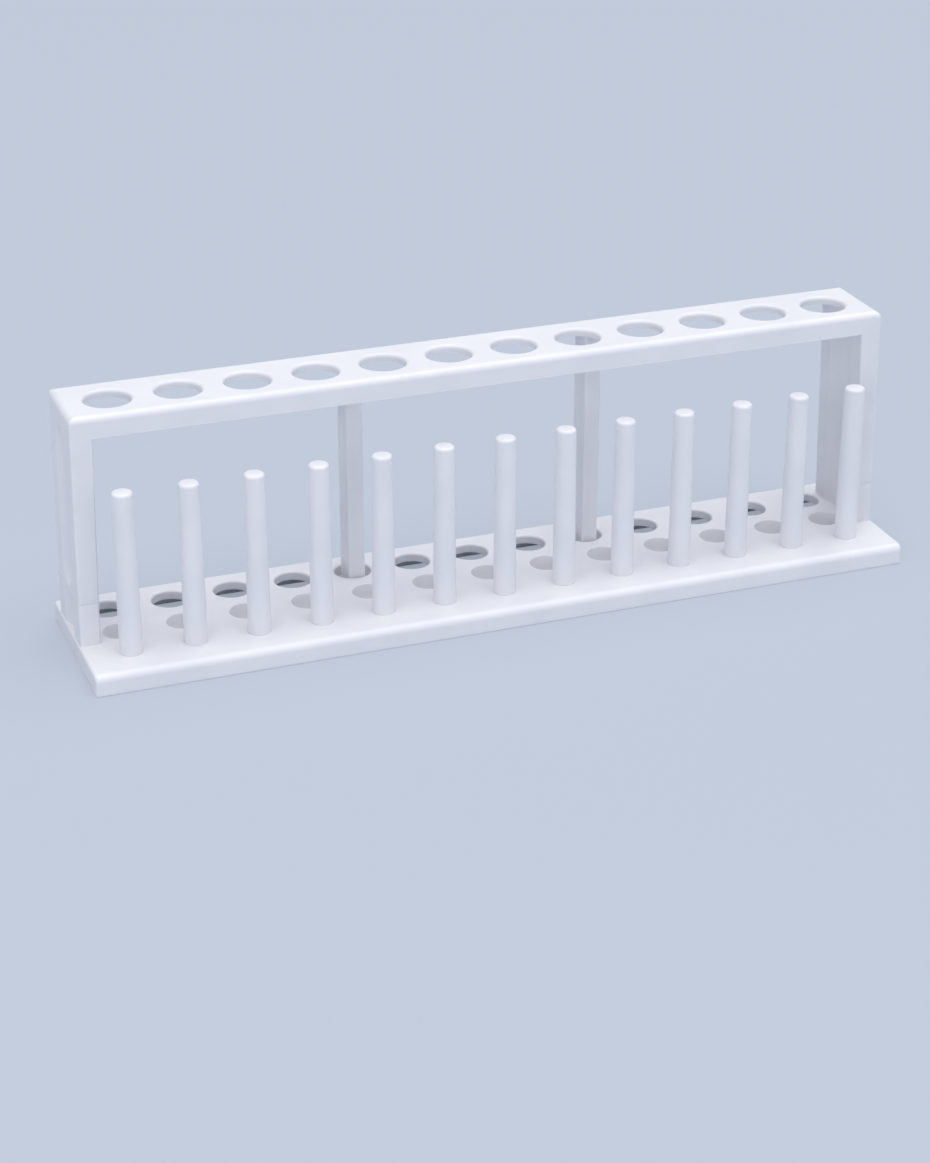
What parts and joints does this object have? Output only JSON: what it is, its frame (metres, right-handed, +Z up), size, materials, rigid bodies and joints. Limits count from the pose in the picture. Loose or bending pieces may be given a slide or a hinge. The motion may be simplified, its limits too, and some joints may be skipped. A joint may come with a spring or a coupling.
{
  "type": "test_tube_rack",
  "caption": "Test tube rack: pierced shelf on two fluted end legs and two posts over a shallow base with drying pegs, dimples and drain holes",
  "frame": {"origin": "bottom centre of the bounding box, on the table under the middle of the base tray", "axes": "+X runs along the rack to the right, -Y is the side with the drying pegs, +Z is up"},
  "size_m": [0.35, 0.074, 0.1045],
  "materials": {
    "base_plastic": "satin white moulded polypropylene",
    "frame_plastic": "satin white moulded polypropylene",
    "post_plastic": "satin white moulded polypropylene",
    "peg_plastic": "smooth white moulded polypropylene"
  },
  "bodies": {
    "base": {"base_tray": "base_plastic", "drying_peg_01": "peg_plastic", "drying_peg_02": "peg_plastic", "drying_peg_03": "peg_plastic", "drying_peg_04": "peg_plastic", "drying_peg_05": "peg_plastic", "drying_peg_06": "peg_plastic", "drying_peg_07": "peg_plastic", "drying_peg_08": "peg_plastic", "drying_peg_09": "peg_plastic", "drying_peg_10": "peg_plastic", "drying_peg_11": "peg_plastic", "drying_peg_12": "peg_plastic", "drying_peg_13": "peg_plastic"},
    "upper": {"upper_frame": "frame_plastic", "post_left": "post_plastic", "post_right": "post_plastic"}
  },
  "joints": [
    {"name": "frame_lift", "type": "slide", "parent": "base", "child": "upper", "axis": [0, 0, 1], "range_m": [0, 0.045]}
  ]
}
